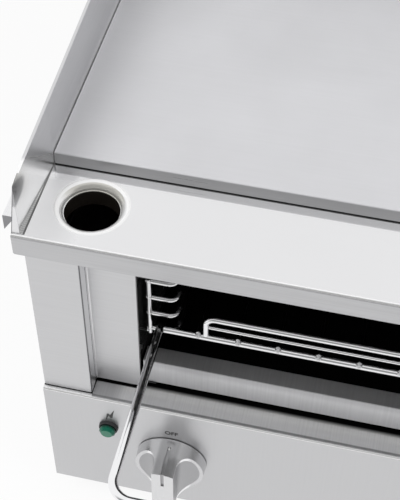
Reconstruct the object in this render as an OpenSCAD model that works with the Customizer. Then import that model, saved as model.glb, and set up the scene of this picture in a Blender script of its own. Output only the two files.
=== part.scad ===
// Griddle toaster: a counter-top griddle plate over a toasting chamber.
// X runs to the right, Y to the back and Z up; the origin is under the middle of the whole object.

/* [Griddle] */
// Width between the two splash guards
well_w = 500; // [440:1:640]
// Depth of the griddle plate
plate_d = 330; // [300:1:420]
// Thickness of the griddle plate
plate_t = 10; // [6:0.5:16]
// Gap between the plate and the guards
plate_seam = 0.5; // [0.2:0.1:0.8]

/* [Grease channel] */
// Depth of the channel from the fascia to the plate
channel_d = 67; // [58:0.5:90]
// How far the channel floor laps under the plate
channel_lap = 12; // [6:1:20]
// Height of the turned-down fascia
fascia_h = 18.2; // [16:0.1:30]
// Fascia overhang past each guard
fascia_over = 8.2; // [6:0.1:12]
// Radius of the lower corners of the fascia
fascia_corner_r = 1.5; // [1:0.5:8]
// Drain centre from the left guard
drain_x = 34.9; // [30:0.1:40]
// Drain centre behind the fascia
drain_y = 36; // [32:0.1:38]
// Bore of the drain cup
drain_d = 35; // [20:1:40]
// Width of the dished rim of the drain
drain_flare = 7; // [4:0.5:8]
// Depth of the dished rim of the drain
drain_dish = 2.3; // [1.5:0.1:4]

/* [Sheet metal] */
// Sheet thickness
sheet = 1; // [0.8:0.1:1.4]
// Outer radius of the front bends
bend_r = 2.2; // [1.8:0.1:4]

/* [Splash guards] */
// Guard height at the front
guard_front_h = 48.4; // [40:0.2:60]
// Guard height at the back
guard_back_h = 78; // [62:0.5:110]
// Width of the support strips under the plate
support_w = 12; // [8:1:20]
// Reach of the side rail from the inner face of the guard
rail_out = 12.4; // [10:0.1:20]
// Top of the side rail above the channel floor
rail_top = 15; // [12:0.5:24]
// Height of the outer side of the rail
rail_h = 12.5; // [6:0.5:14]
// Height of the weld side of the rail
rail_weld_h = 4; // [2:0.5:6]

/* [Body] */
// Height from the ledge to the channel floor
upper_h = 167; // [155:1:220]
// Height of the control box
control_h = 123; // [118:1:160]
// Side panels stand this far out from the guards
body_out = 1.8; // [1.4:0.1:5]
// Width of the bay beside the chamber
bay_w = 68.6; // [66:0.1:90]
// Depth of the toasting chamber
chamber_d = 355; // [340:1:360]
// How far the control panel stands out from the fascia
panel_out = 1.5; // [0:0.1:4]
// Depth of the ledge folded from the control panel
ledge_d = 40; // [35:1:60]
// Thickness of the insulation board under the deck
board_t = 12; // [6:1:20]
// Margin of the insulation board from the walls
board_margin = 12; // [6:1:30]

/* [Back panel] */
// Number of slots in each vent row
vent_count = 9; // [3:1:11]
// Spacing of the vent slots
vent_pitch = 30; // [20:1:36]
// Width of a vent slot
vent_w = 5; // [3:0.5:8]
// Height of a vent slot
vent_h = 34; // [20:1:44]
// Outer diameter of the screw heads
screw_head_d = 8; // [6:0.5:10]
// Shank diameter of the screws
screw_d = 4; // [3:0.5:5]
// Height of the screw heads
screw_head_h = 2.4; // [1.5:0.1:4]
// Length of the screw shanks
screw_len = 9; // [5:1:14]
// Screw distance from the panel edges
screw_inset = 14; // [10:1:24]

/* [Controls] */
// Knob axis from the guard on its side
knob_x = 95.6; // [88:0.2:110]
// Knob axis below the ledge
knob_drop = 62; // [55:0.5:70]
// Knob diameter at the panel
knob_d = 54; // [44:0.5:60]
// Knob diameter at its front
knob_front_d = 50; // [40:0.5:54]
// Knob length
knob_len = 30; // [24:0.5:40]
// Thickness of the full round part behind the scoops
knob_base_t = 8.6; // [6:0.2:12]
// Width of the grip between the scoops
grip_w = 16.6; // [12:0.2:22]
// Radius at the root of the scoops
scoop_r = 12.4; // [6:0.2:14]
// Width of the pointer groove
pointer_w = 2.4; // [1:0.2:4]
// Depth of the pointer groove
pointer_t = 1; // [0.5:0.1:2]
// Length of the pointer groove down the front of the grip
pointer_len = 16; // [8:1:22]
// Gap between the knob and the panel
knob_gap = 0.6; // [0.4:0.1:2]
// Diameter of the regulator shaft
shaft_d = 6; // [5:0.5:8]
// Length of the shaft inside the knob
shaft_grip = 16; // [8:1:20]
// Length of the shaft inside the regulator
shaft_seat = 14; // [8:1:20]
// Wall of the threaded bush around the shaft
bush_wall = 2; // [1.5:0.1:3]
// Side of the square regulator body
regulator_w = 40; // [30:1:46]
// Depth of the regulator body
regulator_d = 34; // [24:1:50]
// Pilot lamp from the knob axis
lamp_x = 48.8; // [42:0.2:60]
// Pilot lamp below the ledge
lamp_drop = 35; // [25:0.5:60]
// Bezel diameter
bezel_d = 15; // [14:0.5:18]
// Bezel thickness
bezel_t = 2; // [1:0.2:4]
// Lens diameter
lens_d = 12; // [6:0.5:12.5]
// Lens length in front of the bezel
lens_out = 4.5; // [2:0.5:8]
// Diameter of the lamp body behind the panel
lamp_body_d = 12; // [9:0.5:12.5]
// Length of the lamp body behind the panel
lamp_body_len = 22; // [10:1:40]

/* [Grease drawer] */
// Drawer front behind the fascia
drawer_in = 2.2; // [1.8:0.1:4]
// Width of the proud part of the drawer front
drawer_grip_w = 36.6; // [25:0.2:45]
// Step between the proud and the set-back parts
drawer_step = 13; // [8:0.5:18]
// Gap under the drawer
drawer_gap = 2.7; // [2:0.1:6]
// Depth of the drawer box
drawer_d = 240; // [180:1:290]
// Height of the drawer box
drawer_h = 95; // [50:1:110]
// Side clearance of the drawer box
drawer_side = 2.5; // [1.5:0.1:5]
// Width of a drawer runner
runner_w = 8; // [5:0.5:14]

/* [Toast rack] */
// Diameter of the side rods and handle
rod_d = 6.2; // [5:0.1:8]
// Rod axis from the chamber wall
rod_inset = 13.4; // [12:0.1:18]
// Rod axis below the channel floor
rack_drop = 100.6; // [98:0.2:106]
// Front wire behind the fascia
rack_front = 22.2; // [20:0.1:24]
// Depth of the rack
rack_d = 300; // [250:1:310]
// Handle axis in front of the fascia
handle_reach = 112; // [95:1:150]
// Bend radius of the handle
handle_r = 15; // [8:1:25]
// Diameter of the front and back wires
front_wire_d = 5; // [3:0.1:5.5]
// Front wire axis above the rod axis
front_wire_up = 1.6; // [0:0.1:2]
// Diameter of the cross wires
cross_wire_d = 3.2; // [2.5:0.1:4]
// Spaces between the cross wires
cross_count = 12; // [8:1:16]
// How far the cross wires reach past the front wire
cross_over = 1.4; // [0:0.1:3]
// Fence legs from the rod axis
fence_inset = 33; // [25:0.5:50]
// Fence height over the front wire
fence_h = 21; // [18:0.5:26]
// Diameter of the fence wire
fence_wire_d = 4.2; // [3:0.1:4.5]
// Bend radius of the fence
fence_r = 7; // [5:0.5:10]
// Middle rail over the front wire
fence_rail_h = 11.6; // [9:0.2:14]
// Diameter of the middle rail
fence_rail_d = 2.6; // [2:0.1:3.5]

/* [Rack guides] */
// Levels of the guide
guide_levels = 4; // [2:1:4]
// Spacing of the levels
guide_pitch = 17.2; // [15:0.1:18]
// Diameter of the guide wire
guide_d = 3.6; // [3:0.1:4]
// Post axis from the chamber wall
guide_post_in = 5.5; // [4:0.1:6]
// Runner axis from the chamber wall
guide_leg_in = 25; // [22:0.1:28]
// Bend radius of the runners
guide_r = 6; // [4:0.5:8]
// Guide front behind the fascia
guide_front = 26.9; // [26:0.1:32]
// Depth of the guide
guide_d_y = 275; // [220:1:300]
// Post reach past the outer levels
guide_end = 5; // [3:0.5:8]

/* [Crumb tray] */
// Tray front behind the fascia
tray_front = 17.2; // [16.4:0.1:20]
// Height of the tray front
tray_front_h = 24.5; // [20:0.5:26]
// Depth of the folded top flange
tray_flange_d = 13.7; // [8:0.1:20]
// Height of the turned-down end of the flange
tray_hem_h = 5; // [3:0.5:8]
// Depth of the tray
tray_d = 340; // [280:1:348]
// Height of the tray walls
tray_wall_h = 14; // [8:0.5:20]
// Gap under the tray
tray_gap = 8.3; // [6:0.1:9]
// Side clearance of the tray
tray_side = 2; // [1:0.1:4]
// Width of the tray runners
tray_runner_w = 11; // [6:0.5:20]

/* [Heating] */
// Diameter of the heating element sheath
element_d = 8; // [6:0.5:10]
// Bend radius of an element hairpin
element_r = 20; // [15:0.5:26]
// Spacing of the elements
element_pitch = 85; // [70:1:90]
// First element behind the front of the plate
element_first = 68; // [60:1:75]
// Gap between the hairpin bends and the left chamber wall
element_end_gap = 12; // [6:1:30]
// Length of the element ends in the right-hand bay
element_tail = 10; // [5:1:20]
// Diameter of the terminal pins
pin_d = 3; // [2:0.5:4]
// Length of the terminal pins
pin_len = 12; // [6:1:20]
// Width of a clamp bar
clamp_w = 16; // [10:1:30]
// Thickness of a clamp bar
clamp_t = 3; // [2:0.5:5]
// Clamp bars from the centre line
clamp_x = 100; // [60:1:130]
// Diameter of the clamp studs
stud_d = 6; // [4:0.5:8]
// Nut width across corners
nut_d = 11.5; // [11:0.5:14]
// Nut height
nut_h = 5; // [3:0.5:6]

/* [Mains inlet] */
// Gland from the centre line
gland_x = 170; // [150:1:200]
// Gland height above the base
gland_up = 38; // [25:1:60]
// Bore of the gland
gland_bore_d = 10; // [8:0.5:12]
// Diameter of the gland body
gland_body_d = 16; // [15:0.5:20]
// Width of the gland flange across corners
gland_flange_d = 25; // [22:0.5:30]
// Thickness of the gland flange
gland_flange_t = 6; // [4:0.5:8]
// Length of the dome nut
gland_nut_len = 10; // [6:0.5:16]
// Wall of the dome nut
gland_nut_wall = 4; // [3:0.5:5]
// Length of the gland inside the back panel
gland_in = 12; // [8:0.5:20]
// Width of the terminal block
terminal_w = 54; // [40:1:70]
// Depth of the terminal block
terminal_d = 24; // [16:1:36]
// Height of the terminal block
terminal_h = 20; // [14:1:30]
// Poles of the terminal block
terminal_poles = 3; // [2:1:5]

/* [Feet] */
// Height of the feet
foot_h = 25; // [15:1:50]
// Diameter of a foot at its top
foot_top_d = 38; // [30:1:50]
// Diameter of a foot at its base
foot_base_d = 32; // [24:1:44]
// Foot distance from the body's edges
foot_inset = 46; // [32:1:70]
// Diameter of the foot screws
foot_screw_d = 6; // [4:0.5:8]

/* [Hidden] */
$fn = 64;

// Clearances
fit = 0.1;
slide_gap = 0.3;
hole_gap = 0.4;
weld_gap = 0.02;
through = 1;

// Height of the main levels
z_base = foot_h;
z_ledge = z_base + control_h;
z_channel = z_ledge + upper_h;
z_plate_top = z_channel + plate_t;
z_under = z_channel - sheet;
z_fascia = z_channel - fascia_h;

// Depth of the main planes, centred on the reach of the handle and the gland
guard_hem = 2 * sheet;
body_d = channel_d + plate_d + guard_hem;
gland_out = gland_flange_t + gland_nut_len;
front_reach = handle_reach + rod_d / 2;
back_reach = max(body_d, body_d - guard_hem + gland_out);
y_face = (front_reach - back_reach) / 2;
y_plate = y_face + channel_d;
y_back = y_face + body_d;
y_back_face = y_back - guard_hem;
y_back_inner = y_back_face - sheet;
y_panel = y_face - panel_out;
y_drawer = y_face + drawer_in;
y_recess = y_drawer + drawer_step;
y_front_line = y_recess + sheet + slide_gap;
y_back_liner = y_front_line + chamber_d;

// Half widths of the main planes
well_half = well_w / 2;
body_half = well_half + body_out;
chamber_half = well_half - bay_w;
fascia_half = well_half + fascia_over;

// Toast rack
rod_x = chamber_half - rod_inset;
rod_r = rod_d / 2;
z_rod = z_channel - rack_drop;
z_front_wire = z_rod + front_wire_up;
front_wire_r = front_wire_d / 2;
y_front_wire = y_face + rack_front;
y_back_wire = y_front_wire + rack_d;
y_handle = y_face - handle_reach;
cross_pitch = 2 * rod_x / cross_count;
z_cross = z_front_wire + front_wire_r + cross_wire_d / 2 + weld_gap;
fence_x = rod_x - fence_inset;
z_fence = z_front_wire + fence_h;
z_fence_rail = z_front_wire + fence_rail_h;

// Rack guides
guide_r_wire = guide_d / 2;
post_x = chamber_half - guide_post_in;
leg_x = chamber_half - guide_leg_in;
z_guide = z_rod - rod_r - slide_gap - guide_r_wire;
y_guide = y_face + guide_front;
y_guide_back = y_guide + guide_d_y;
guide_stub = guide_post_in - guide_r_wire;

// Grease drawer
drawer_left = -body_half + sheet + drawer_side;
drawer_right = -chamber_half - sheet - drawer_side;
z_drawer = z_ledge + drawer_gap;
z_drawer_top = z_fascia - through;
y_drawer_box = y_recess + sheet;

// Crumb tray
z_tray = z_ledge + tray_gap;
y_tray = y_face + tray_front;
tray_half = chamber_half - tray_side;

// Heating elements
element_axis = element_d / 2 + fit;
z_element = z_channel - element_axis;
z_clamp = z_channel - element_d - 2 * fit;
y_elements = [for (i = [0:2]) y_plate + element_first + i * element_pitch];
element_bend_x = -chamber_half + element_end_gap + element_r + element_d / 2;
clamp_overhang = element_r + element_d / 2 + stud_d;

// Controls
z_knob = z_ledge - knob_drop;
z_lamp = z_ledge - lamp_drop;
left_knob_x = knob_x - well_half;
right_knob_x = well_half - knob_x;
lamp_places = [left_knob_x - lamp_x, right_knob_x - lamp_x];
bush_d = shaft_d + 2 * (fit / 2 + bush_wall);
y_knob_back = y_panel - knob_gap;
y_lens = y_panel - bezel_t / 2;

// Feet, fixings and inlet
foot_x = body_half - foot_inset;
foot_y_front = y_panel + foot_inset;
foot_y_back = y_back_face - foot_inset;
foot_screw_len = foot_h * 0.6;
foot_screw_head_d = foot_screw_d * 2;
z_gland = z_base + gland_up;
z_low_vents = z_base + control_h / 2 - vent_h / 2;
z_high_vents = z_ledge + upper_h / 2 - vent_h / 2;

steel = [0.78, 0.78, 0.79];
bright_steel = [0.86, 0.86, 0.87];
chrome_wire = [0.70, 0.71, 0.73];
dark_steel = [0.35, 0.35, 0.36];
black_rubber = [0.08, 0.08, 0.08];
lamp_green = [0.05, 0.45, 0.25];
ceramic_white = [0.88, 0.86, 0.80];
wool_board = [0.72, 0.66, 0.52];

// Block between two opposite corners
module slab(low, high) {
    translate(low) cube(high - low);
}

module bar_x(x0, x1, y, z, d) {
    translate([x0, y, z]) rotate([0, 90, 0]) cylinder(d = d, h = x1 - x0);
}

module bar_y(y0, y1, x, z, d) {
    translate([x, y1, z]) rotate([90, 0, 0]) cylinder(d = d, h = y1 - y0);
}

module bar_z(z0, z1, x, y, d) {
    translate([x, y, z0]) cylinder(d = d, h = z1 - z0);
}

// Bend of round bar in the local XY plane, from one angle over a sweep
module round_bend(r, d, from, sweep) {
    rotate([0, 0, from]) rotate_extrude(angle = sweep) translate([r, 0]) circle(d = d);
}

// Turned-down front edge of a sheet: the front face and the quarter bend over it
module bent_front(half_w, drop) {
    translate([-half_w, 0, 0]) rotate([90, 0, 90]) linear_extrude(2 * half_w) {
        translate([0, -drop]) square([sheet, drop - bend_r]);
        translate([bend_r, -bend_r]) intersection() {
            difference() {
                circle(bend_r);
                circle(bend_r - sheet);
            }
            translate([-bend_r, 0]) square(bend_r);
        }
    }
}

// What is cut away to round the lower corner of the fascia on the right
module fascia_corner() {
    translate([fascia_half - fascia_corner_r, y_face + sheet + through, z_fascia + fascia_corner_r])
        rotate([90, 0, 0]) linear_extrude(sheet + 2 * through) difference() {
            translate([0, -fascia_corner_r - through])
                square([fascia_corner_r + through, fascia_corner_r + through]);
            circle(fascia_corner_r);
        }
}

module griddle_plate() {
    color(steel)
        slab([-well_half + plate_seam, y_plate, z_channel],
             [well_half - plate_seam, y_back_face - plate_seam, z_plate_top]);
}

module channel_tray() {
    rim_d = drain_d + 2 * drain_flare + 2 * fit;
    color(bright_steel) difference() {
        union() {
            translate([0, y_face, z_channel]) bent_front(fascia_half, fascia_h);
            slab([-well_half, y_face + bend_r, z_under],
                 [well_half, y_plate + channel_lap, z_channel]);
        }
        translate([drain_x - well_half, y_face + drain_y, z_under - through])
            cylinder(d = rim_d, h = sheet + 2 * through, $fn = 96);
        fascia_corner();
        mirror([1, 0, 0]) fascia_corner();
    }
}

// Pressed cup: a dished rim, a throat and a lap ring under the channel floor
module drain_cup() {
    throat_r = drain_d / 2;
    rim_r = throat_r + drain_flare;
    dish_r = (drain_flare * drain_flare + drain_dish * drain_dish) / (2 * drain_dish);
    lap_w = 3;
    color(bright_steel)
        translate([drain_x - well_half, y_face + drain_y, z_channel]) rotate_extrude($fn = 96) {
            translate([rim_r, -dish_r]) intersection() {
                difference() {
                    circle(dish_r, $fn = 180);
                    circle(dish_r - sheet, $fn = 180);
                }
                translate([-drain_flare, 0]) square([drain_flare, dish_r]);
            }
            translate([throat_r, -fascia_h]) square([sheet, fascia_h - drain_dish - sheet / 2]);
            translate([rim_r - sheet, -2 * sheet]) square([sheet + lap_w, sheet]);
        }
}

// Double-skinned guard on the right: wedge foot, folded top edge that rises to the back, skirt
module side_guard() {
    guard_y = y_face + bend_r;
    guard_len = y_back - guard_y;
    color(steel) intersection() {
        translate([well_half, y_back, z_channel]) rotate([90, 0, 0]) difference() {
            linear_extrude(guard_len) polygon([
                [0, -sheet], [0, guard_back_h], [guard_hem, guard_back_h],
                [guard_hem, guard_front_h], [fascia_over, 0], [fascia_over, -fascia_h],
                [fascia_over - sheet, -fascia_h], [fascia_over - sheet, -sheet]
            ]);
            translate([0, 0, sheet]) linear_extrude(guard_len - 2 * sheet) polygon([
                [sheet, -sheet - through], [fascia_over - sheet, -sheet - through],
                [fascia_over - sheet, 0], [sheet, guard_front_h]
            ]);
        }
        translate([0, guard_y, z_channel]) rotate([90, 0, 90]) linear_extrude(fascia_half)
            polygon([
                [0, -fascia_h], [0, guard_front_h], [guard_len, guard_back_h], [guard_len, -fascia_h]
            ]);
    }
}

module left_guard() {
    mirror([1, 0, 0]) side_guard();
}

module right_guard() {
    side_guard();
}

module back_guard() {
    color(steel)
        slab([-well_half, y_back_face, z_fascia], [well_half, y_back, z_channel + guard_back_h]);
}

// Distance of the guard's outer skin from its inner face at a height over the channel floor
function skin_out(h) = guard_hem + (fascia_over - guard_hem) * (1 - h / guard_front_h);

module side_rail() {
    color(steel) translate([well_half, y_back, z_channel]) rotate([90, 0, 0])
        linear_extrude(body_d - bend_r) polygon([
            [skin_out(rail_top), rail_top], [rail_out, rail_top], [rail_out, rail_top - rail_h],
            [skin_out(rail_top - rail_weld_h), rail_top - rail_weld_h]
        ]);
}

module left_rail() {
    mirror([1, 0, 0]) side_rail();
}

module right_rail() {
    side_rail();
}

module plate_supports() {
    y_start = y_plate + channel_lap;
    color(dark_steel) {
        for (side = [0, 1]) mirror([side, 0, 0])
            slab([well_half - support_w, y_start, z_under], [well_half, y_back_face, z_channel]);
        slab([support_w - well_half, y_back_face - support_w, z_under],
             [well_half - support_w, y_back_face, z_channel]);
    }
}

module side_panel() {
    color(steel)
        slab([body_half - sheet, y_front_line, z_ledge], [body_half, y_back_inner, z_under]);
}

module left_side_panel() {
    mirror([1, 0, 0]) side_panel();
}

module right_side_panel() {
    side_panel();
}

module chamber_wall() {
    slab([chamber_half, y_front_line, z_ledge], [chamber_half + sheet, y_back_liner, z_under]);
}

module left_liner() {
    color(bright_steel) mirror([1, 0, 0]) chamber_wall();
}

// The right wall is notched at its top edge for the ends of the elements
module right_liner() {
    color(bright_steel) difference() {
        chamber_wall();
        for (y = y_elements, leg = [-1, 1])
            slab([chamber_half - through, y + leg * element_r - element_d / 2 - hole_gap,
                  z_element - element_d / 2 - hole_gap],
                 [chamber_half + sheet + through, y + leg * element_r + element_d / 2 + hole_gap,
                  z_channel]);
    }
}

module back_liner() {
    color(bright_steel)
        slab([-chamber_half - sheet, y_back_liner, z_ledge],
             [chamber_half + sheet, y_back_liner + sheet, z_under]);
}

// Front panel of the control box, with the ledge folded back from its top edge
module control_panel() {
    color(steel) difference() {
        union() {
            translate([0, y_panel, z_ledge]) bent_front(body_half, control_h);
            slab([-body_half, y_panel + bend_r, z_ledge - sheet],
                 [body_half, y_panel + ledge_d, z_ledge]);
        }
        for (x = [left_knob_x, right_knob_x])
            bar_y(y_panel - through, y_panel + sheet + through, x, z_knob, bush_d + hole_gap);
        for (x = lamp_places)
            bar_y(y_panel - through, y_panel + sheet + through, x, z_lamp, lamp_body_d + hole_gap);
    }
}

module control_side() {
    color(steel)
        slab([body_half - sheet, y_panel + bend_r, z_base],
             [body_half, y_back_inner, z_ledge - sheet]);
}

module left_control_side() {
    mirror([1, 0, 0]) control_side();
}

module right_control_side() {
    control_side();
}

module deck() {
    color(bright_steel)
        slab([-body_half, y_panel + ledge_d, z_ledge - sheet], [body_half, y_back_inner, z_ledge]);
}

module deck_board() {
    reach = body_half - sheet - board_margin;
    color(wool_board)
        slab([-reach, y_panel + ledge_d + board_margin, z_ledge - sheet - board_t],
             [reach, y_back_inner - board_margin, z_ledge - sheet]);
}

module base_pan() {
    reach = body_half - sheet;
    color(steel) difference() {
        slab([-reach, y_panel + sheet, z_base], [reach, y_back_inner, z_base + sheet]);
        for (x = [-foot_x, foot_x], y = [foot_y_front, foot_y_back])
            bar_z(z_base - through, z_base + sheet + through, x, y, foot_screw_d + hole_gap);
    }
}

function back_screw_places() = [
    for (x = [-1, 0, 1], z = [z_base + screw_inset, z_ledge - screw_inset, z_fascia - screw_inset])
        [x * (body_half - screw_inset), z]
];

module vent_row(z) {
    for (i = [0:vent_count - 1])
        slab([(i - (vent_count - 1) / 2) * vent_pitch - vent_w / 2, y_back_inner - through, z],
             [(i - (vent_count - 1) / 2) * vent_pitch + vent_w / 2, y_back_face + through, z + vent_h]);
}

module back_panel() {
    color(steel) difference() {
        slab([-body_half, y_back_inner, z_base], [body_half, y_back_face, z_under]);
        vent_row(z_low_vents);
        vent_row(z_high_vents);
        bar_y(y_back_inner - through, y_back_face + through, gland_x, z_gland, gland_body_d + hole_gap);
        for (place = back_screw_places())
            bar_y(y_back_inner - through, y_back_face + through, place[0], place[1],
                  screw_d + hole_gap);
    }
}

module back_screws() {
    color(chrome_wire) for (place = back_screw_places()) {
        bar_y(y_back_face, y_back_face + screw_head_h, place[0], place[1], screw_head_d);
        bar_y(y_back_face - screw_len, y_back_face, place[0], place[1], screw_d);
    }
}

// Fixed cover of the right-hand bay, a shallow tray of folded sheet
module column_cover() {
    color(steel) {
        slab([chamber_half, y_drawer, z_ledge], [body_half, y_drawer + sheet, z_under]);
        slab([chamber_half, y_drawer, z_ledge], [chamber_half + sheet, y_front_line, z_under]);
        slab([body_half - sheet, y_drawer, z_ledge], [body_half, y_front_line, z_under]);
    }
}

module foot(x, y) {
    lower_edge = 2;
    color(black_rubber) translate([x, y, 0]) difference() {
        rotate_extrude() polygon([
            [0, 0], [foot_base_d / 2 - lower_edge, 0], [foot_base_d / 2, lower_edge],
            [foot_top_d / 2, foot_h], [0, foot_h]
        ]);
        translate([0, 0, foot_h - foot_screw_len - through])
            cylinder(d = foot_screw_d + 2 * fit, h = foot_screw_len + 2 * through);
    }
}

module foot_front_left() {
    foot(-foot_x, foot_y_front);
}

module foot_front_right() {
    foot(foot_x, foot_y_front);
}

module foot_back_left() {
    foot(-foot_x, foot_y_back);
}

module foot_back_right() {
    foot(foot_x, foot_y_back);
}

module foot_screws() {
    head_h = foot_screw_d * 0.6;
    color(chrome_wire) for (x = [-foot_x, foot_x], y = [foot_y_front, foot_y_back]) {
        bar_z(z_base - foot_screw_len, z_base + sheet, x, y, foot_screw_d);
        bar_z(z_base + sheet, z_base + sheet + head_h, x, y, foot_screw_head_d);
    }
}

module drawer_runners() {
    y_end = y_drawer_box + drawer_d;
    color(dark_steel) for (x = [drawer_left, drawer_right - runner_w])
        slab([x, y_front_line, z_ledge], [x + runner_w, y_end, z_drawer - slide_gap]);
}

module grease_drawer() {
    z_top = z_drawer + drawer_h;
    color(steel) difference() {
        slab([drawer_left, y_drawer_box, z_drawer],
             [drawer_right, y_drawer_box + drawer_d, z_top]);
        slab([drawer_left + sheet, y_drawer_box + sheet, z_drawer + sheet],
             [drawer_right - sheet, y_drawer_box + drawer_d - sheet, z_top + through]);
    }
}

// One folded sheet: a proud box on the left and a set-back part that leaves room for the fingers
module drawer_front() {
    grip_right = -body_half + drawer_grip_w;
    recess_right = -chamber_half - slide_gap;
    color(steel) {
        slab([-body_half, y_drawer, z_drawer], [grip_right, y_drawer + sheet, z_drawer_top]);
        slab([-body_half, y_drawer, z_drawer], [-body_half + sheet, y_recess + sheet, z_drawer_top]);
        slab([grip_right - sheet, y_drawer, z_drawer], [grip_right, y_recess + sheet, z_drawer_top]);
        slab([grip_right - sheet, y_recess, z_drawer], [recess_right, y_recess + sheet, z_drawer_top]);
    }
}

module rack_rod() {
    color(chrome_wire)
        bar_y(y_handle + handle_r, y_back_wire + front_wire_r, rod_x, z_rod, rod_d);
}

module rack_left_rod() {
    mirror([1, 0, 0]) rack_rod();
}

module rack_right_rod() {
    rack_rod();
}

// Front bar of the handle with the bends that lead to the side rods
module rack_handle() {
    bend_x = rod_x - handle_r;
    bend_y = y_handle + handle_r;
    color(chrome_wire) {
        bar_x(-bend_x, bend_x, y_handle, z_rod, rod_d);
        translate([bend_x, bend_y, z_rod]) round_bend(handle_r, rod_d, -90, 90);
        translate([-bend_x, bend_y, z_rod]) round_bend(handle_r, rod_d, 180, 90);
    }
}

module rack_end_wire(y) {
    reach = rod_x - rod_r - weld_gap;
    color(chrome_wire) bar_x(-reach, reach, y, z_front_wire, front_wire_d);
}

module rack_front_wire() {
    rack_end_wire(y_front_wire);
}

module rack_back_wire() {
    rack_end_wire(y_back_wire);
}

module rack_cross_wires() {
    color(chrome_wire) for (i = [1:cross_count - 1])
        bar_y(y_front_wire - cross_over, y_back_wire + cross_over, -rod_x + i * cross_pitch, z_cross,
              cross_wire_d);
}

// Raised fence that stands on the front wire
module rack_fence() {
    z_foot = z_front_wire + front_wire_r + weld_gap;
    bend_x = fence_x - fence_r;
    bend_z = z_fence - fence_r;
    color(chrome_wire) {
        bar_x(-bend_x, bend_x, y_front_wire, z_fence, fence_wire_d);
        for (side = [0, 1]) mirror([side, 0, 0]) {
            bar_z(z_foot, bend_z, fence_x, y_front_wire, fence_wire_d);
            translate([bend_x, y_front_wire, bend_z]) rotate([90, 0, 0])
                round_bend(fence_r, fence_wire_d, 0, 90);
        }
    }
}

module rack_fence_rail() {
    reach = fence_x - fence_wire_d / 2 - weld_gap;
    color(chrome_wire) bar_x(-reach, reach, y_front_wire, z_fence_rail, fence_rail_d);
}

// Bent-wire runners of one side, one on each level
module guide_runners() {
    start_x = post_x - guide_r_wire - weld_gap;
    bend_x = leg_x + guide_r;
    color(chrome_wire) for (i = [0:guide_levels - 1]) {
        z = z_guide + i * guide_pitch;
        bar_x(bend_x, start_x, y_guide, z, guide_d);
        bar_x(bend_x, start_x, y_guide_back, z, guide_d);
        bar_y(y_guide + guide_r, y_guide_back - guide_r, leg_x, z, guide_d);
        translate([bend_x, y_guide + guide_r, z]) round_bend(guide_r, guide_d, 180, 90);
        translate([bend_x, y_guide_back - guide_r, z]) round_bend(guide_r, guide_d, 90, 90);
    }
}

module left_guide_runners() {
    mirror([1, 0, 0]) guide_runners();
}

module right_guide_runners() {
    guide_runners();
}

// Upright wires that carry the runners, each held off the chamber wall by two stubs
module guide_posts() {
    z_low = z_guide - guide_end;
    z_high = z_guide + (guide_levels - 1) * guide_pitch + guide_end;
    color(chrome_wire) for (y = [y_guide, y_guide_back]) {
        bar_z(z_low, z_high, post_x, y, guide_d);
        for (z = [z_low + guide_r_wire, z_high - guide_r_wire])
            bar_x(post_x, chamber_half, y, z, guide_d * 0.8);
    }
}

module left_guide_posts() {
    mirror([1, 0, 0]) guide_posts();
}

module right_guide_posts() {
    guide_posts();
}

module tray_runners() {
    z_top = z_tray - slide_gap;
    y_end = y_tray + tray_d;
    color(dark_steel) for (side = [0, 1]) mirror([side, 0, 0]) {
        slab([chamber_half - sheet, y_front_line, z_ledge], [chamber_half, y_end, z_top]);
        slab([chamber_half - tray_runner_w, y_front_line, z_top - sheet], [chamber_half, y_end, z_top]);
    }
}

// Shallow tray with a tall front whose top edge is folded back and down
module crumb_tray() {
    y_end = y_tray + tray_d;
    z_top = z_tray + tray_front_h;
    y_hem = y_tray + tray_flange_d;
    color(steel) {
        slab([-tray_half, y_tray, z_tray], [tray_half, y_end, z_tray + sheet]);
        slab([-tray_half, y_tray, z_tray], [tray_half, y_tray + sheet, z_top]);
        slab([-tray_half, y_tray, z_top - sheet], [tray_half, y_hem, z_top]);
        slab([-tray_half, y_hem - sheet, z_top - tray_hem_h], [tray_half, y_hem, z_top]);
        slab([-tray_half, y_end - sheet, z_tray], [tray_half, y_end, z_tray + tray_wall_h]);
        for (side = [0, 1]) mirror([side, 0, 0])
            slab([tray_half - sheet, y_tray, z_tray], [tray_half, y_end, z_tray + tray_wall_h]);
    }
}

// Sheathed hairpin under the plate, with its terminal pins in the right-hand bay
module element(y) {
    tail_x = chamber_half + sheet + element_tail;
    color(dark_steel) {
        translate([element_bend_x, y, z_element]) round_bend(element_r, element_d, 90, 180);
        for (leg = [-1, 1]) {
            bar_x(element_bend_x, tail_x, y + leg * element_r, z_element, element_d);
            bar_x(tail_x, tail_x + pin_len, y + leg * element_r, z_element, pin_d);
        }
    }
}

module front_element() {
    element(y_elements[0]);
}

module middle_element() {
    element(y_elements[1]);
}

module back_element() {
    element(y_elements[2]);
}

module element_clamps() {
    color(dark_steel) for (x = [-clamp_x, clamp_x]) difference() {
        slab([x - clamp_w / 2, y_elements[0] - clamp_overhang, z_clamp - clamp_t],
             [x + clamp_w / 2, y_elements[2] + clamp_overhang, z_clamp]);
        for (y = y_elements)
            bar_z(z_clamp - clamp_t - through, z_clamp + through, x, y, stud_d + hole_gap);
    }
}

module clamp_studs() {
    nut_top = z_clamp - clamp_t;
    color(chrome_wire) for (x = [-clamp_x, clamp_x], y = y_elements) {
        bar_z(nut_top - nut_h - through, z_channel, x, y, stud_d);
        translate([x, y, nut_top - nut_h]) cylinder(d = nut_d, h = nut_h, $fn = 6);
    }
}

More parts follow.
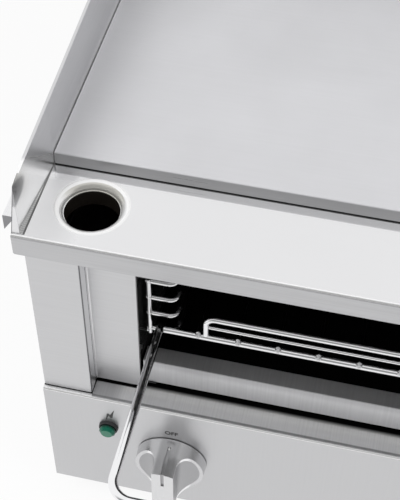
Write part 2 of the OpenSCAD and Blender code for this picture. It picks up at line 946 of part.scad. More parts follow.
// Heat regulator on the back of the panel, with the bush that its shaft turns in
module regulator(x) {
    half = regulator_w / 2;
    y_rear = y_panel + sheet + regulator_d;
    color(ceramic_white) difference() {
        union() {
            slab([x - half, y_panel + sheet, z_knob - half], [x + half, y_rear, z_knob + half]);
            bar_y(y_panel, y_panel + sheet, x, z_knob, bush_d);
        }
        bar_y(y_panel - through, y_panel + sheet + shaft_seat + through, x, z_knob, shaft_d + fit);
    }
}

module left_regulator() {
    regulator(left_knob_x);
}

module right_regulator() {
    regulator(right_knob_x);
}

module shaft(x) {
    color(chrome_wire)
        bar_y(y_knob_back - shaft_grip, y_panel + sheet + shaft_seat, x, z_knob, shaft_d);
}

module left_shaft() {
    shaft(left_knob_x);
}

module right_shaft() {
    shaft(right_knob_x);
}

// Tapered knob, scooped on both sides so that an upright grip with a pointer groove is left
module knob(x) {
    y_front = y_knob_back - knob_len;
    y_scoop = y_knob_back - knob_base_t - scoop_r;
    front_r = knob_front_d / 2;
    color(chrome_wire) difference() {
        translate([x, y_knob_back, z_knob]) rotate([90, 0, 0])
            cylinder(d1 = knob_d, d2 = knob_front_d, h = knob_len);
        for (side = [0, 1]) translate([x, 0, 0]) mirror([side, 0, 0]) {
            bar_z(z_knob - knob_d, z_knob + knob_d, grip_w / 2 + scoop_r, y_scoop, 2 * scoop_r);
            slab([grip_w / 2, y_front - through, z_knob - knob_d], [knob_d, y_scoop, z_knob + knob_d]);
            slab([grip_w / 2 + scoop_r, y_front - through, z_knob - knob_d],
                 [knob_d, y_scoop + scoop_r, z_knob + knob_d]);
        }
        bar_y(y_knob_back - shaft_grip, y_knob_back + through, x, z_knob, shaft_d + fit);
        slab([x - pointer_w / 2, y_front - through, z_knob + front_r - pointer_t],
             [x + pointer_w / 2, y_knob_back - knob_base_t, z_knob + knob_d]);
        slab([x - pointer_w / 2, y_front - through, z_knob + front_r - pointer_len],
             [x + pointer_w / 2, y_front + pointer_t, z_knob + knob_d]);
    }
}

module left_knob() {
    knob(left_knob_x);
}

module right_knob() {
    knob(right_knob_x);
}

module lamp_bezels() {
    color(black_rubber) for (x = lamp_places) difference() {
        union() {
            bar_y(y_panel - bezel_t, y_panel, x, z_lamp, bezel_d);
            bar_y(y_panel, y_panel + sheet + lamp_body_len, x, z_lamp, lamp_body_d);
        }
        bar_y(y_panel - bezel_t - through, y_lens, x, z_lamp, lens_d + 2 * fit);
    }
}

module lamp_lenses() {
    bevel = lens_out / 3;
    lens_r = lens_d / 2;
    lens_len = bezel_t / 2 + lens_out;
    color(lamp_green) for (x = lamp_places)
        translate([x, y_lens, z_lamp]) rotate([90, 0, 0]) rotate_extrude() polygon([
            [0, 0], [lens_r, 0], [lens_r, lens_len - bevel], [lens_r - bevel, lens_len], [0, lens_len]
        ]);
}

// Terminal block on the base, before the screws of the back feet
module terminal_block() {
    pole_pitch = terminal_w / terminal_poles;
    entry_d = pole_pitch * 0.3;
    x_start = gland_x - terminal_w / 2;
    y_rear = min(y_back_inner - gland_in - terminal_d, foot_y_back - foot_screw_head_d);
    z_floor = z_base + sheet;
    color(ceramic_white) difference() {
        slab([x_start, y_rear - terminal_d, z_floor],
             [x_start + terminal_w, y_rear, z_floor + terminal_h]);
        for (i = [0:terminal_poles - 1]) {
            pole_x = x_start + (i + 0.5) * pole_pitch;
            bar_y(y_rear - terminal_d - through, y_rear + through, pole_x, z_floor + terminal_h / 2,
                  entry_d);
            bar_z(z_floor + terminal_h / 2, z_floor + terminal_h + through, pole_x,
                  y_rear - terminal_d / 2, entry_d);
        }
    }
}

// Cable gland in the back panel: hexagon flange, dome nut and a threaded body inside
module cable_gland() {
    nut_taper = 2;
    nut_od = gland_bore_d + 2 * gland_nut_wall;
    y_nut = y_back_face + gland_flange_t;
    color(black_rubber) difference() {
        union() {
            bar_y(y_back_face - sheet - gland_in, y_back_face, gland_x, z_gland, gland_body_d);
            translate([gland_x, y_nut, z_gland]) rotate([90, 0, 0])
                cylinder(d = gland_flange_d, h = gland_flange_t, $fn = 6);
            translate([gland_x, y_nut, z_gland]) rotate([-90, 0, 0]) rotate_extrude() polygon([
                [0, 0], [nut_od / 2, 0], [nut_od / 2, gland_nut_len - nut_taper],
                [nut_od / 2 - nut_taper, gland_nut_len], [0, gland_nut_len]
            ]);
        }
        bar_y(y_back_face - sheet - gland_in - through, y_nut + gland_nut_len + through, gland_x,
              z_gland, gland_bore_d);
    }
}

griddle_plate();
channel_tray();
drain_cup();
left_guard();
right_guard();
back_guard();
left_rail();
right_rail();
plate_supports();
left_side_panel();
right_side_panel();
left_liner();
right_liner();
back_liner();
control_panel();
left_control_side();
right_control_side();
deck();
deck_board();
base_pan();
back_panel();
back_screws();
column_cover();
foot_front_left();
foot_front_right();
foot_back_left();
foot_back_right();
foot_screws();
drawer_runners();
grease_drawer();
drawer_front();
rack_left_rod();
rack_right_rod();
rack_handle();
rack_front_wire();
rack_back_wire();
rack_cross_wires();
rack_fence();
rack_fence_rail();
left_guide_runners();
right_guide_runners();
left_guide_posts();
right_guide_posts();
tray_runners();
crumb_tray();
front_element();
middle_element();
back_element();
element_clamps();
clamp_studs();
left_regulator();
right_regulator();
left_shaft();
right_shaft();
left_knob();
right_knob();
lamp_bezels();
lamp_lenses();
terminal_block();
cable_gland();
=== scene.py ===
import bpy
from math import cos, radians, sin
from mathutils import Matrix, Vector


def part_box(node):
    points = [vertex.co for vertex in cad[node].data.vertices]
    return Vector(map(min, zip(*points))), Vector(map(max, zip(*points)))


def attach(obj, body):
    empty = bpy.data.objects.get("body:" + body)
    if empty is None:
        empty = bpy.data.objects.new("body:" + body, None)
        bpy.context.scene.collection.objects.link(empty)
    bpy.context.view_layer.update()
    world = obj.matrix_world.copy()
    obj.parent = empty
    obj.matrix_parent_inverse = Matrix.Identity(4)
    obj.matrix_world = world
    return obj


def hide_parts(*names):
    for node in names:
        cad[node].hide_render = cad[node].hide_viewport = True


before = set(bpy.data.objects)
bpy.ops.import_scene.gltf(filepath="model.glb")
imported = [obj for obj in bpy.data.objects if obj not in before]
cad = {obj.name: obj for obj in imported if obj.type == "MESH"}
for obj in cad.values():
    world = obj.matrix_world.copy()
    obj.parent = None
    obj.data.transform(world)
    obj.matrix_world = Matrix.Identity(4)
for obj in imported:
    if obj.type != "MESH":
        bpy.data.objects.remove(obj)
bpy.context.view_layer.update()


# Studio: white paper on the floor and an even white room that is dimmer behind the camera,
# with two large soft lamps. The camera looks down on the front left corner.
class Shade:
    """A value on its way through the nodes of one finish."""

    def __init__(self, tree, socket=None):
        self.tree = tree
        self.socket = socket

    def node(self, kind, settings=(), inputs=(), out=0):
        made = self.tree.nodes.new(kind)
        for name, value in dict(settings).items():
            setattr(made, name, value)
        for name, value in dict(inputs).items():
            if isinstance(value, Shade):
                self.tree.links.new(value.socket, made.inputs[name])
            else:
                made.inputs[name].default_value = value
        return Shade(self.tree, made.outputs[out] if made.outputs else None)

    def maths(self, operation, first, second=0.0):
        return self.node("ShaderNodeMath", {"operation": operation}, {0: first, 1: second})

    def rise(self, low, high):
        return self.node("ShaderNodeMapRange", {"interpolation_type": "SMOOTHSTEP"},
                         {"Value": self, "From Min": low, "From Max": high})

    def axes(self, place):
        return (self.node("ShaderNodeSeparateXYZ", inputs={0: place}, out=axis) for axis in "XYZ")

    def grey(self, tone):
        return self.node("ShaderNodeCombineColor", inputs={0: tone, 1: tone, 2: tone})

    def paint(self, inputs):
        face = self.node("ShaderNodeBsdfPrincipled", inputs=inputs)
        self.node("ShaderNodeOutputMaterial", inputs={"Surface": face})

    def __add__(self, other):
        return self.maths("ADD", self, other)

    __radd__ = __add__

    def __sub__(self, other):
        return self.maths("SUBTRACT", self, other)

    def __rsub__(self, other):
        return self.maths("SUBTRACT", other, self)

    def __mul__(self, other):
        return self.maths("MULTIPLY", self, other)

    __rmul__ = __mul__

    def __abs__(self):
        return self.maths("ABSOLUTE", self)

    def __lt__(self, other):
        return self.maths("LESS_THAN", self, other)

    def __gt__(self, other):
        return self.maths("GREATER_THAN", self, other)


def new_finish(name):
    material = bpy.data.materials.new(name)
    material.use_nodes = True
    material.node_tree.nodes.clear()
    return material, Shade(material.node_tree)


def light_rays(shade):
    camera_ray, glossy_ray, clear_ray = (shade.node("ShaderNodeLightPath", out=way) for way in (
        "Is Camera Ray", "Is Glossy Ray", "Is Transmission Ray"))
    return camera_ray, shade.maths("MINIMUM", camera_ray + glossy_ray + clear_ray, 1.0)


bpy.ops.object.select_all(action="DESELECT")
bpy.ops.mesh.primitive_plane_add(size=6.0, location=(0.0, 0.0, 0.0))
floor = bpy.context.object
floor.name = "studio_floor"
paper_glow, room_dim = 0.88, 0.7
paper, shade = new_finish("studio_paper")
camera_ray, seen = light_rays(shade)
matt = shade.node("ShaderNodeBsdfDiffuse", inputs={"Color": (0.9, 0.9, 0.9, 1.0)})
glow = shade.node("ShaderNodeEmission", inputs={"Strength": 1.0})
whitened = shade.node("ShaderNodeMixShader", inputs={0: seen * paper_glow, 1: matt, 2: glow})
shade.node("ShaderNodeOutputMaterial", inputs={"Surface": whitened})
floor.data.materials.append(paper)

world = bpy.data.worlds.new("white_room")
world.use_nodes = True
world.node_tree.nodes.clear()
shade = Shade(world.node_tree)
camera_ray, seen = light_rays(shade)
across, back, up = shade.axes(shade.node("ShaderNodeTexCoord", out="Generated"))
dim = (across * 0.21 - back * 0.98).rise(0.20, 0.60) * (1.0 - up.rise(0.74, 0.86))
white = (1.0, 1.0, 1.0, 1.0)
room_light = shade.node("ShaderNodeBackground", inputs={"Color": white, "Strength": 0.5})
room_seen = shade.node("ShaderNodeBackground", inputs={
    "Color": white, "Strength": 1.0 - (1.0 - camera_ray) * dim * room_dim})
room = shade.node("ShaderNodeMixShader", inputs={0: seen, 1: room_light, 2: room_seen})
shade.node("ShaderNodeOutputWorld", inputs={"Surface": room})
bpy.context.scene.world = world
bpy.context.scene.view_settings.view_transform = "Standard"

aim = Vector((0.0, 0.0, 0.2))
for name, place, power in (("key_softbox", Vector((-1.1, -0.9, 1.7)), 22.0),
                           ("fill_softbox", Vector((1.3, -0.7, 1.4)), 10.0)):
    lamp = bpy.data.lights.new(name, "AREA")
    lamp.size = 1.1
    lamp.energy = power
    softbox = bpy.data.objects.new(name, lamp)
    bpy.context.scene.collection.objects.link(softbox)
    softbox.location = place
    softbox.rotation_euler = (aim - place).to_track_quat("-Z", "Y").to_euler()
    softbox.visible_glossy = False

lens = bpy.data.cameras.new("studio_camera")
lens.sensor_width = 36.0
lens.lens = 85.395
pan, tilt_down, roll = 12.199, 49.324, 0.826
camera = bpy.data.objects.new("studio_camera", lens)
bpy.context.scene.collection.objects.link(camera)
camera.matrix_world = (
    Matrix.Translation((-0.0362, -0.60685, 0.8786))
    @ Matrix.Rotation(radians(pan), 4, "Z")
    @ Matrix.Rotation(radians(90.0 - tilt_down), 4, "X")
    @ Matrix.Rotation(radians(roll), 4, "Z")
)
bpy.context.scene.camera = camera


# Griddle plate: a 10 mm slab of steel with a ground face and a slightly raked front edge. It
# drops in between the guards and lies loose on the channel floor and on strips along the guards.
def steel_finish(name, tint, rough, along, streak=0.08, patch=0.05, relief=0.04, metal=0.94, zones=()):
    material, shade = new_finish(name)
    place = shade.node("ShaderNodeTexCoord", out="Object")
    x, y, z = shade.axes(place)
    long_strokes, fine_strokes = 14.0, 700.0
    strokes = [long_strokes if axis in along else fine_strokes for axis in "xyz"]
    ground = shade.node("ShaderNodeMapping", inputs={"Vector": place, "Scale": strokes})
    grain = shade.node("ShaderNodeTexNoise", inputs={"Vector": ground, "Scale": 1.0, "Detail": 3.0})
    cloud = shade.node("ShaderNodeTexNoise", inputs={"Vector": place, "Scale": 14.0, "Detail": 4.0})
    colour, dullness = tint, rough
    for where, zone_tint, zone_rough in zones:
        share = where(x, y, z)
        below = colour if isinstance(colour, Shade) else (*colour, 1.0)
        colour = shade.node("ShaderNodeMix", {"data_type": "RGBA"},
                            {0: share, 6: below, 7: (*zone_tint, 1.0)}, 2)
        dullness = (1.0 - share) * dullness + share * zone_rough
    if callable(streak):
        streak = streak(x, y, z)
    level = 1.0 + (grain - 0.5) * streak + (cloud - 0.5) * patch
    shaded = shade.node("ShaderNodeVectorMath", {"operation": "SCALE"}, {0: colour, "Scale": level})
    brushing = shade.node("ShaderNodeBump", inputs={
        "Height": grain, "Strength": relief, "Distance": 0.0004})
    shade.paint({
        "Base Color": shaded, "Metallic": metal, "Normal": brushing,
        "Roughness": dullness * (1.0 + (grain - 0.5) * 0.3 + (cloud - 0.5) * 0.2)})
    return material


def named(name):
    piece = bpy.context.object
    piece.name = name
    bpy.ops.object.transform_apply(location=True, rotation=True, scale=True)
    return piece


def add_block(name, low, high):
    bpy.ops.object.select_all(action="DESELECT")
    low, high = Vector(low), Vector(high)
    bpy.ops.mesh.primitive_cube_add(size=1.0, location=(low + high) / 2, scale=high - low)
    return named(name)


def pick(piece, test):
    bpy.ops.object.mode_set(mode="EDIT")
    bpy.ops.mesh.select_mode(type="EDGE")
    bpy.ops.mesh.select_all(action="DESELECT")
    bpy.ops.object.mode_set(mode="OBJECT")
    points = [corner.co for corner in piece.data.vertices]
    for edge in piece.data.edges:
        edge.select = all(test(points[index]) for index in edge.vertices)
    bpy.ops.object.mode_set(mode="EDIT")


def take(piece):
    bpy.ops.object.mode_set(mode="OBJECT")
    bpy.ops.object.select_all(action="DESELECT")
    piece.select_set(True)
    bpy.context.view_layer.objects.active = piece


def hand_over(piece, material, body, slot, *nodes):
    take(piece)
    bpy.ops.object.shade_smooth_by_angle(angle=radians(32.0))
    even = piece.modifiers.new("even", "WEIGHTED_NORMAL")
    even.keep_sharp = True
    bpy.ops.object.modifier_apply(modifier=even.name)
    piece.data.materials.clear()
    piece.data.materials.append(material)
    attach(piece, body)
    if nodes:
        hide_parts(*nodes)


hair = 1e-5
plate_low, plate_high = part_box("griddle_plate")
rake, plate_edge, front_face, seat_line = 0.0010, 0.0010, 0.0012, 0.0011
plate = add_block("griddle_slab", plate_low, plate_high)
pick(plate, lambda at: at.z > plate_high.z - hair and at.y < plate_low.y + hair)
bpy.ops.transform.translate(value=(0.0, rake, 0.0))
pick(plate, lambda at: at.z > plate_high.z - hair and at.y < plate_low.y + 2 * rake)
bpy.ops.mesh.bevel(offset=plate_edge, segments=3, affect="EDGES")
griddle_ground_painted_shade = steel_finish("griddle_ground_painted_shade", (0.69, 0.69, 0.71), 0.50, "x",
                              streak=0.07, patch=0.18, metal=0.6, zones=(
    # Painted shade: the front face is painted darker than the top, and a black painted shadow line runs
    # along its foot.
    (lambda x, y, z: (y < plate_low.y + front_face) * (z < plate_high.z - 0.0008), (0.50, 0.50, 0.51), 0.30),
    (lambda x, y, z: (y < plate_low.y + front_face) * (z < plate_low.z + seat_line),
     (0.006, 0.006, 0.006), 0.70),
))
hand_over(plate, griddle_ground_painted_shade, "chassis", "griddle_steel", "griddle_plate")


# Grease channel: one sheet of steel with a polished floor, whose front edge is turned down as
# the brushed fascia. The pressed drain cup sits in its left end, lapped under the floor.
def dress(material, *names):
    for name in names:
        cad[name].data.materials.clear()
        cad[name].data.materials.append(material)


def sheet_wall(piece, thickness, offset=-1.0):
    wall = piece.modifiers.new("wall", "SOLIDIFY")
    wall.thickness, wall.offset = thickness, offset
    bpy.ops.object.modifier_apply(modifier=wall.name)


channel_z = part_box("channel_tray")[1].z
cup_low, cup_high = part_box("drain_cup")
cup_at = (cup_low + cup_high) / 2
cup_rim, cup_throat, cup_wall, cup_flare = 0.0244, 0.0188, 0.0008, 0.0050
cup_lap, lap_drop, rim_glow, rim_start = 0.0028, 0.0016, 0.0018, 0.0215
bend_highlight_end, bend_shade_end = channel_z - 0.0013, channel_z - 0.0024


def cup_distance_squared(x, y):
    return (x - cup_at.x) * (x - cup_at.x) + (y - cup_at.y) * (y - cup_at.y)


dress(steel_finish("channel_polish_painted_light", (0.79, 0.79, 0.80), 0.12, "x", patch=0.03, relief=0.006,
                   streak=lambda x, y, z: 0.02 + (z < channel_z - 0.0020) * 0.26, zones=(
    # painted light: lighter and rougher near the guards, hiding their reflection in the floor
    (lambda x, y, z: abs(x).rise(0.205, 0.230) * (1.0 - y.rise(plate_low.y - 0.016, plate_low.y - 0.010)),
     (0.86, 0.86, 0.87), 0.45),
    # painted glow round the drain cup
    (lambda x, y, z: 1.0 - cup_distance_squared(x, y).rise(cup_rim ** 2, (cup_rim + rim_glow) ** 2),
     (0.90, 0.90, 0.90), 0.25),
    # painted light: a lighter strip in front of and under the plate
    (lambda x, y, z: y.rise(plate_low.y - 0.0090, plate_low.y - 0.0070), (0.96, 0.96, 0.97), 0.12),
    (lambda x, y, z: z < channel_z - 0.0002, (0.55, 0.55, 0.56), 0.40),
    # painted highlight along the fascia's top bend, over a painted dark line below it
    (lambda x, y, z: (z < channel_z - 0.0001) * (z > bend_highlight_end), (1.0, 1.0, 1.0), 0.35),
    (lambda x, y, z: (z < bend_highlight_end) * (z > bend_shade_end), (0.44, 0.44, 0.45), 0.40),
)), "channel_tray")

bpy.ops.object.select_all(action="DESELECT")
ring_r, ring_z = cup_rim + cup_lap, channel_z - lap_drop
bpy.ops.mesh.primitive_circle_add(vertices=96, radius=ring_r, location=(cup_at.x, cup_at.y, ring_z))
cup = named("drain_cup_pressed")
bpy.ops.object.mode_set(mode="EDIT")
bpy.ops.mesh.select_all(action="SELECT")
flare = [(cup_rim - (cup_rim - cup_throat - 0.0005) * sin(radians(turn)),
          channel_z - cup_wall / 2 - cup_flare * (1.0 - cos(radians(turn)))) for turn in range(0, 91, 9)]
throat = [(cup_throat, flare[-1][1] - 0.0002), (cup_throat, cup_low.z)]
for next_r, next_z in [(cup_rim, ring_z), *flare, *throat]:
    bpy.ops.mesh.extrude_edges_move(TRANSFORM_OT_translate={"value": (0.0, 0.0, next_z - ring_z)})
    bpy.ops.transform.resize(value=(next_r / ring_r, next_r / ring_r, 1.0),
                             center_override=(cup_at.x, cup_at.y, 0.0))
    ring_r, ring_z = next_r, next_z
bpy.ops.object.mode_set(mode="OBJECT")
sheet_wall(cup, cup_wall, 0.0)
# Painted light on the drain cup: painted near white as a painted glow, its far wall warm grey as a painted
# reflection, and its throat dark as painted shade.
cup_polish_painted_glow = steel_finish("cup_polish_painted_glow", (0.92, 0.92, 0.92), 0.12, "z",
                          streak=0.02, patch=0.05, relief=0.006, metal=0.5, zones=(
    (lambda x, y, z: cup_distance_squared(x, y).rise(rim_start ** 2, cup_rim ** 2),
     (0.90, 0.90, 0.90), 0.12),
    (lambda x, y, z: (y - cup_at.y).rise(0.0, 0.014) * (z < channel_z - 0.0006), (0.60, 0.59, 0.55), 0.20),
    (lambda x, y, z: 1.0 - z.rise(channel_z - 0.0064, channel_z - 0.0050), (0.026, 0.022, 0.018), 0.30),
))
hand_over(cup, cup_polish_painted_glow, "chassis", "polished_steel", "drain_cup")


# Splash guards: double-skinned folded sheets welded to the channel's ends, polished inside, with
# a rounded front edge. Each foot tapers in towards the front, and a ground weld fills the wedge.
def cut_away(piece, cutter, how="DIFFERENCE"):
    take(piece)
    cut = piece.modifiers.new("cut", "BOOLEAN")
    cut.operation, cut.object, cut.solver = how, cutter, "EXACT"
    bpy.ops.object.modifier_apply(modifier=cut.name)
    bpy.data.objects.remove(cutter)


def copy_piece(piece, name, change):
    twin = bpy.data.objects.new(name, piece.data.copy())
    bpy.context.scene.collection.objects.link(twin)
    twin.data.transform(change)
    if change.determinant() < 0.0:
        twin.data.flip_normals()
    return twin


mirrored = Matrix.Scale(-1.0, 4, (1.0, 0.0, 0.0))
guard_low, guard_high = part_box("left_guard")
guard_in, guard_out, guard_nose = guard_high.x, guard_low.x, guard_low.y
guard_rise, skin, foot_taper, top_ease, nose_round = 0.0484, 0.0005, 0.0026, 0.0009, 0.0011
core_side, core_top, core_edge = 0.0003, 0.0008, 0.0015
guard_top = channel_z + guard_rise
guard = bpy.data.objects.new("left_guard_folded", cad["left_guard"].data.copy())
bpy.context.scene.collection.objects.link(guard)
take(guard)
bpy.ops.object.mode_set(mode="EDIT")
bpy.ops.mesh.select_all(action="SELECT")
bpy.ops.mesh.remove_doubles(threshold=1e-6)
bpy.ops.mesh.dissolve_limited(angle_limit=radians(0.5))
bpy.ops.object.mode_set(mode="OBJECT")
core = add_block("guard_core", (guard_out + skin, guard_nose + skin, channel_z - skin),
                 (guard_in - core_side, plate_low.y, guard_top - core_top))
pick(core, lambda at: at.z > channel_z + 0.02 and at.x < guard_out + 2 * skin)
bpy.ops.transform.translate(value=(guard_in - core_edge - guard_out - skin, 0.0, 0.0))
cut_away(guard, core, "UNION")
sweep = add_block("sweep", (guard_in - foot_taper, guard_nose - 0.0001, channel_z - 0.0004),
                  (guard_in + 0.0001, plate_low.y, guard_top + 0.0005))
pick(sweep, lambda at: at.x < guard_in and at.y > plate_low.y - hair)
bpy.ops.transform.translate(value=(foot_taper - 0.00005, 0.0, 0.0))
pick(sweep, lambda at: at.x < guard_in and at.y < plate_low.y - hair and at.z > guard_top)
bpy.ops.transform.translate(value=(top_ease, 0.0, 0.0))
cut_away(guard, sweep)
pick(guard, lambda at: abs(at.y - guard_nose) < hair and at.z > channel_z - skin
     and at.x - guard_in > top_ease * (at.z - channel_z) / guard_rise - foot_taper - 0.0003)
bpy.ops.mesh.bevel(offset=nose_round, segments=4, affect="EDGES")
bpy.ops.object.mode_set(mode="OBJECT")

# Where the painted highlight and the painted reflection of the drain lie on the guards.
gleam_slope, gleam_start, gleam_end = 1.17, guard_nose + 0.074, guard_nose + 0.079
oval_z, oval_flat, oval_in, oval_out = channel_z + 0.0338, 0.26, 0.0072, 0.0102


def oval_distance_squared(y, z):
    return (y - guard_nose) * (y - guard_nose) * oval_flat + (z - oval_z) * (z - oval_z)


guard_polish_painted_light = steel_finish("guard_polish_painted_light", (0.68, 0.68, 0.69), 0.36, "y",
                            streak=0.14, patch=0.06, relief=0.02, zones=(
    # painted highlight over the front of the inner face
    (lambda x, y, z: (abs(x) < abs(guard_in) + 0.0040)
     * (1.0 - (y + (z - channel_z) * gleam_slope).rise(gleam_start, gleam_end)), (0.98, 0.98, 0.98), 0.24),
    # painted light: a lighter band just above the plate
    (lambda x, y, z: (1.0 - z.rise(plate_high.z, plate_high.z + 0.010)) * (y > plate_low.y),
     (0.95, 0.95, 0.96), 0.36),
    # painted light: the nose painted lighter
    (lambda x, y, z: y < guard_nose + 0.0006, (0.80, 0.80, 0.81), 0.30),
    # painted reflection of the drain: a dark oval
    (lambda x, y, z: (abs(x) < abs(guard_in) + 0.0052)
     * (1.0 - oval_distance_squared(y, z).rise(oval_in ** 2, oval_out ** 2)), (0.44, 0.44, 0.45), 0.24),
    # painted shade: a dark edge along the nose's outer side
    (lambda x, y, z: (y < guard_nose + 0.0006) * (z > channel_z)
     * (abs(x) + (z - channel_z) * 0.128 > abs(guard_out) - skin), (0.20, 0.20, 0.21), 0.40),
))
right_guard = copy_piece(guard, "right_guard_folded", mirrored)
hand_over(guard, guard_polish_painted_light, "chassis", "brushed_steel", "left_guard")
hand_over(right_guard, guard_polish_painted_light, "chassis", "brushed_steel", "right_guard")

weld_wide, weld_lap, weld_proud, weld_taper = 0.0046, 0.0004, 0.00015, 0.0034
weld = add_block("left_guard_weld", (guard_in - weld_wide, guard_nose, channel_z - 0.0010),
                 (guard_in + weld_lap, plate_low.y, channel_z + weld_proud))
pick(weld, lambda at: at.x < guard_in and at.y > plate_low.y - hair)
bpy.ops.transform.translate(value=(weld_taper, 0.0, 0.0))
pick(weld, lambda at: at.x > guard_in and at.z > channel_z)
bpy.ops.mesh.bevel(offset=0.0001, segments=1, affect="EDGES")
bpy.ops.object.mode_set(mode="OBJECT")
weld_ground, shade = new_finish("weld_ground")
x, y, z = shade.axes(shade.node("ShaderNodeTexCoord", out="Object"))
ripple = shade.maths("SINE", (y + abs(x) * 0.7) * 3600.0).rise(-0.6, 0.6)
edge = abs(x) < abs(guard_in) + 0.0008
flush = y.rise(guard_nose + 0.026, guard_nose + 0.040)
tone = (0.38 + ripple * 0.18 * (1.0 - flush) + flush * 0.40) * (1.0 - edge * 0.7)
shade.paint({"Base Color": shade.grey(tone), "Metallic": 0.6, "Roughness": 0.40 + ripple * 0.1})
right_weld = copy_piece(weld, "right_guard_weld", mirrored)
hand_over(weld, weld_ground, "chassis", "polished_steel")
hand_over(right_weld, weld_ground, "chassis", "polished_steel")

rail_low, rail_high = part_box("left_rail")
rail_lit_top, rail_shaded_end = 0.0020, 0.0004
# Painted light: the rails' tops are painted lighter as painted highlight, their front ends darker as painted
# shade.
dress(steel_finish("rail_brushed_painted_light", (0.58, 0.58, 0.59), 0.32, "y", streak=0.08, zones=(
    (lambda x, y, z: z > rail_high.z - rail_lit_top, (0.86, 0.86, 0.87), 0.28),
    (lambda x, y, z: y < rail_low.y + rail_shaded_end, (0.30, 0.30, 0.31), 0.45),
)), "left_rail", "right_rail")
dress(steel_finish("back_guard_brushed", (0.60, 0.60, 0.61), 0.32, "x", streak=0.18), "back_guard")


# Body sheets: brushed steel panels folded at their edges and held by the screws of the back
# panel; the strips that carry the plate and the pan under the body are plain zinc-coated steel.
dress(steel_finish("side_brushed", (0.58, 0.58, 0.59), 0.36, "y", streak=0.22),
      "left_side_panel", "right_side_panel", "left_control_side", "right_control_side")
dress(steel_finish("column_brushed", (0.61, 0.61, 0.62), 0.36, "x", streak=0.15), "column_cover")
dress(steel_finish("back_brushed", (0.55, 0.55, 0.56), 0.38, "x", streak=0.22), "back_panel")
dress(steel_finish("plain_zinc", (0.40, 0.41, 0.42), 0.48, "x", patch=0.25), "plate_supports", "base_pan")


# Toasting chamber: liners of steel darkened by heat; the back liner and the floor are painted black
# as painted shade for the dark chamber, over a grey mineral board that keeps the heat off the control box.
dress(steel_finish("liner_heated", (0.45, 0.45, 0.45), 0.07, "z", patch=0.5), "left_liner", "right_liner")
dress(steel_finish("chamber_painted_shade", (0.005, 0.005, 0.005), 0.55, "x", patch=0.6), "back_liner", "deck")
dress(steel_finish("board_fibre", (0.30, 0.29, 0.27), 0.90, "x", metal=0.0, patch=0.3), "deck_board")
dress(steel_finish("runner_dull", (0.06, 0.06, 0.06), 0.45, "y"), "drawer_runners", "tray_runners")


# Grease drawer: a folded steel box on runners. Its front is one sheet, stepped back on the right
# as a finger grip, with a crease pressed down the step. The proud part hangs a little lower.
def fold(*moves):
    for move in moves:
        bpy.ops.mesh.extrude_edges_move(TRANSFORM_OT_translate={"value": move})


def face_out(piece, test):
    bpy.ops.object.mode_set(mode="EDIT")
    bpy.ops.mesh.select_all(action="SELECT")
    bpy.ops.mesh.remove_doubles(threshold=1e-6)
    bpy.ops.mesh.normals_make_consistent(inside=False)
    bpy.ops.object.mode_set(mode="OBJECT")
    largest = max(piece.data.polygons, key=lambda side: side.area)
    if not test(largest.normal):
        piece.data.flip_normals()


front_low, front_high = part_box("drawer_front")
sheet, grip_x, front_drop, front_round = 0.0010, -0.2152, 0.0018, 0.0012
crease, crease_wide, crease_deep = 0.0098, 0.0008, 0.0003
step_y = front_high.y - sheet
bpy.ops.object.select_all(action="DESELECT")
bpy.ops.mesh.primitive_plane_add(
    size=1.0, rotation=(0.0, radians(90.0), 0.0),
    location=(front_low.x, (front_low.y + front_high.y) / 2, (front_low.z + front_high.z) / 2))
bpy.context.object.scale = (front_high.z - front_low.z, front_high.y - front_low.y, 1.0)
drawer = named("drawer_front_sheet")
pick(drawer, lambda at: at.y < front_low.y + hair)
fold((grip_x - front_low.x, 0.0, 0.0), (0.0, crease, 0.0),
     (-crease_deep, crease_wide / 2, 0.0), (crease_deep, crease_wide / 2, 0.0),
     (0.0, step_y - front_low.y - crease - crease_wide, 0.0), (front_high.x - grip_x, 0.0, 0.0))
pick(drawer, lambda at: at.z < front_low.z + hair and at.y < front_low.y + hair)
bpy.ops.transform.translate(value=(0.0, 0.0, -front_drop))
for fold_x, fold_y in ((front_low.x, front_low.y), (grip_x, front_low.y), (grip_x, step_y)):
    pick(drawer, lambda at: abs(at.x - fold_x) < hair and abs(at.y - fold_y) < hair)
    bpy.ops.mesh.bevel(offset=front_round, segments=3, affect="EDGES")
face_out(drawer, lambda normal: normal.y < 0.0)
sheet_wall(drawer, sheet)


def on_step(x):
    return (x > grip_x - 0.0011) * (x < grip_x + 0.0006)


drawer_brushed_painted_light = steel_finish("drawer_brushed_painted_light", (0.61, 0.61, 0.62), 0.36, "x", streak=0.11, zones=(
    # painted reflection: a dark line along the proud edge's bend
    (lambda x, y, z: (x > grip_x - 0.0006) * (x < grip_x + 0.0006) * (y < front_low.y + 0.0014),
     (0.22, 0.22, 0.23), 0.4),
    # painted light: the return painted lighter
    (lambda x, y, z: on_step(x) * (y > front_low.y + front_round), (0.86, 0.86, 0.87), 0.3),
    # painted shade in the crease
    (lambda x, y, z: on_step(x) * (y > front_low.y + crease) * (y < front_low.y + crease + crease_wide),
     (0.20, 0.20, 0.21), 0.4),
))
hand_over(drawer, drawer_brushed_painted_light, "drawer", "brushed_steel", "drawer_front")
dress(steel_finish("drawer_box_dull", (0.42, 0.42, 0.43), 0.42, "y", patch=0.2), "grease_drawer")


